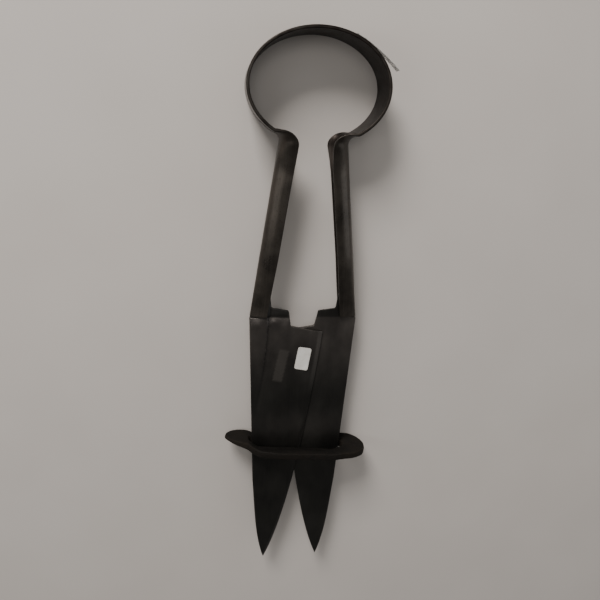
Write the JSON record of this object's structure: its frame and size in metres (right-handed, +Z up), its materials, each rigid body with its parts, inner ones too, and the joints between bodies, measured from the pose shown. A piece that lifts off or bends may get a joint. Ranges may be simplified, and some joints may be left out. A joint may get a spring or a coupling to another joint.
{
  "type": "sheep shears",
  "caption": "One-piece bow-spring sheep shears with channel grips, crossing knife blades and a slotted leather keeper that holds them closed, lying flat.",
  "frame": {"origin": "on the table under the middle of the bounding box; the shears lie on their back", "axes": "+Z up off the table and out of the face of the left blade, +Y towards the bow, +X towards the right blade's side"},
  "size_m": [0.0944, 0.34, 0.0285],
  "materials": {
    "bow_steel": "old oiled spring steel, dark brown patina",
    "grip_steel": "old oiled spring steel, hand-worn dark brown patina",
    "blade_steel": "blackened blade steel, satin",
    "keeper_leather": "thick old harness leather, rough cut edge",
    "label_paper": "blank white sticker",
    "clear_tape": "clear tape gone cloudy"
  },
  "bodies": {
    "bow": {"bow_spring": "bow_steel", "tape_strip": "clear_tape"},
    "left_arm": {"left_bow_arm": "bow_steel"},
    "right_arm": {"right_bow_arm": "bow_steel"},
    "left_half": {"left_shank": "grip_steel", "left_blade": "blade_steel", "price_label": "label_paper"},
    "right_half": {"right_shank": "grip_steel", "right_blade": "blade_steel"},
    "keeper": {"leather_keeper": "keeper_leather"}
  },
  "joints": [
    {"name": "keeper_slide", "type": "slide", "parent": "bow", "child": "keeper", "axis": [0, -1, 0], "range_m": [-0.012, 0.115]},
    {"name": "left_spring_open", "type": "hinge", "parent": "bow", "child": "left_arm", "pos_m": [0, 0.1404, 0.013], "axis": [0, 0, -1], "range_deg": [-0.25, 2.1], "deforming": ["bow_spring", "left_bow_arm"]},
    {"name": "right_spring_open", "type": "hinge", "parent": "bow", "child": "right_arm", "pos_m": [0, 0.1404, 0.013], "axis": [0, 0, 1], "range_deg": [-0.25, 2.1], "deforming": ["bow_spring", "right_bow_arm"]},
    {"name": "left_squeeze", "type": "hinge", "parent": "left_arm", "child": "left_half", "pos_m": [0, 0.1404, 0.013], "axis": [0, 0, -1], "range_deg": [-3.5, 0], "stiffness_Nm_per_rad": 8, "springref_deg": 5.73, "deforming": ["left_bow_arm"]},
    {"name": "right_squeeze", "type": "hinge", "parent": "right_arm", "child": "right_half", "pos_m": [0, 0.1404, 0.013], "axis": [0, 0, 1], "range_deg": [-3.5, 0], "deforming": ["right_bow_arm"]}
  ],
  "couplings": [
    {"joint": "left_spring_open", "follows": "keeper_slide", "rad_per_m": 0.31},
    {"joint": "right_spring_open", "follows": "keeper_slide", "rad_per_m": 0.31},
    {"joint": "right_squeeze", "follows": "left_squeeze", "ratio": 1}
  ]
}
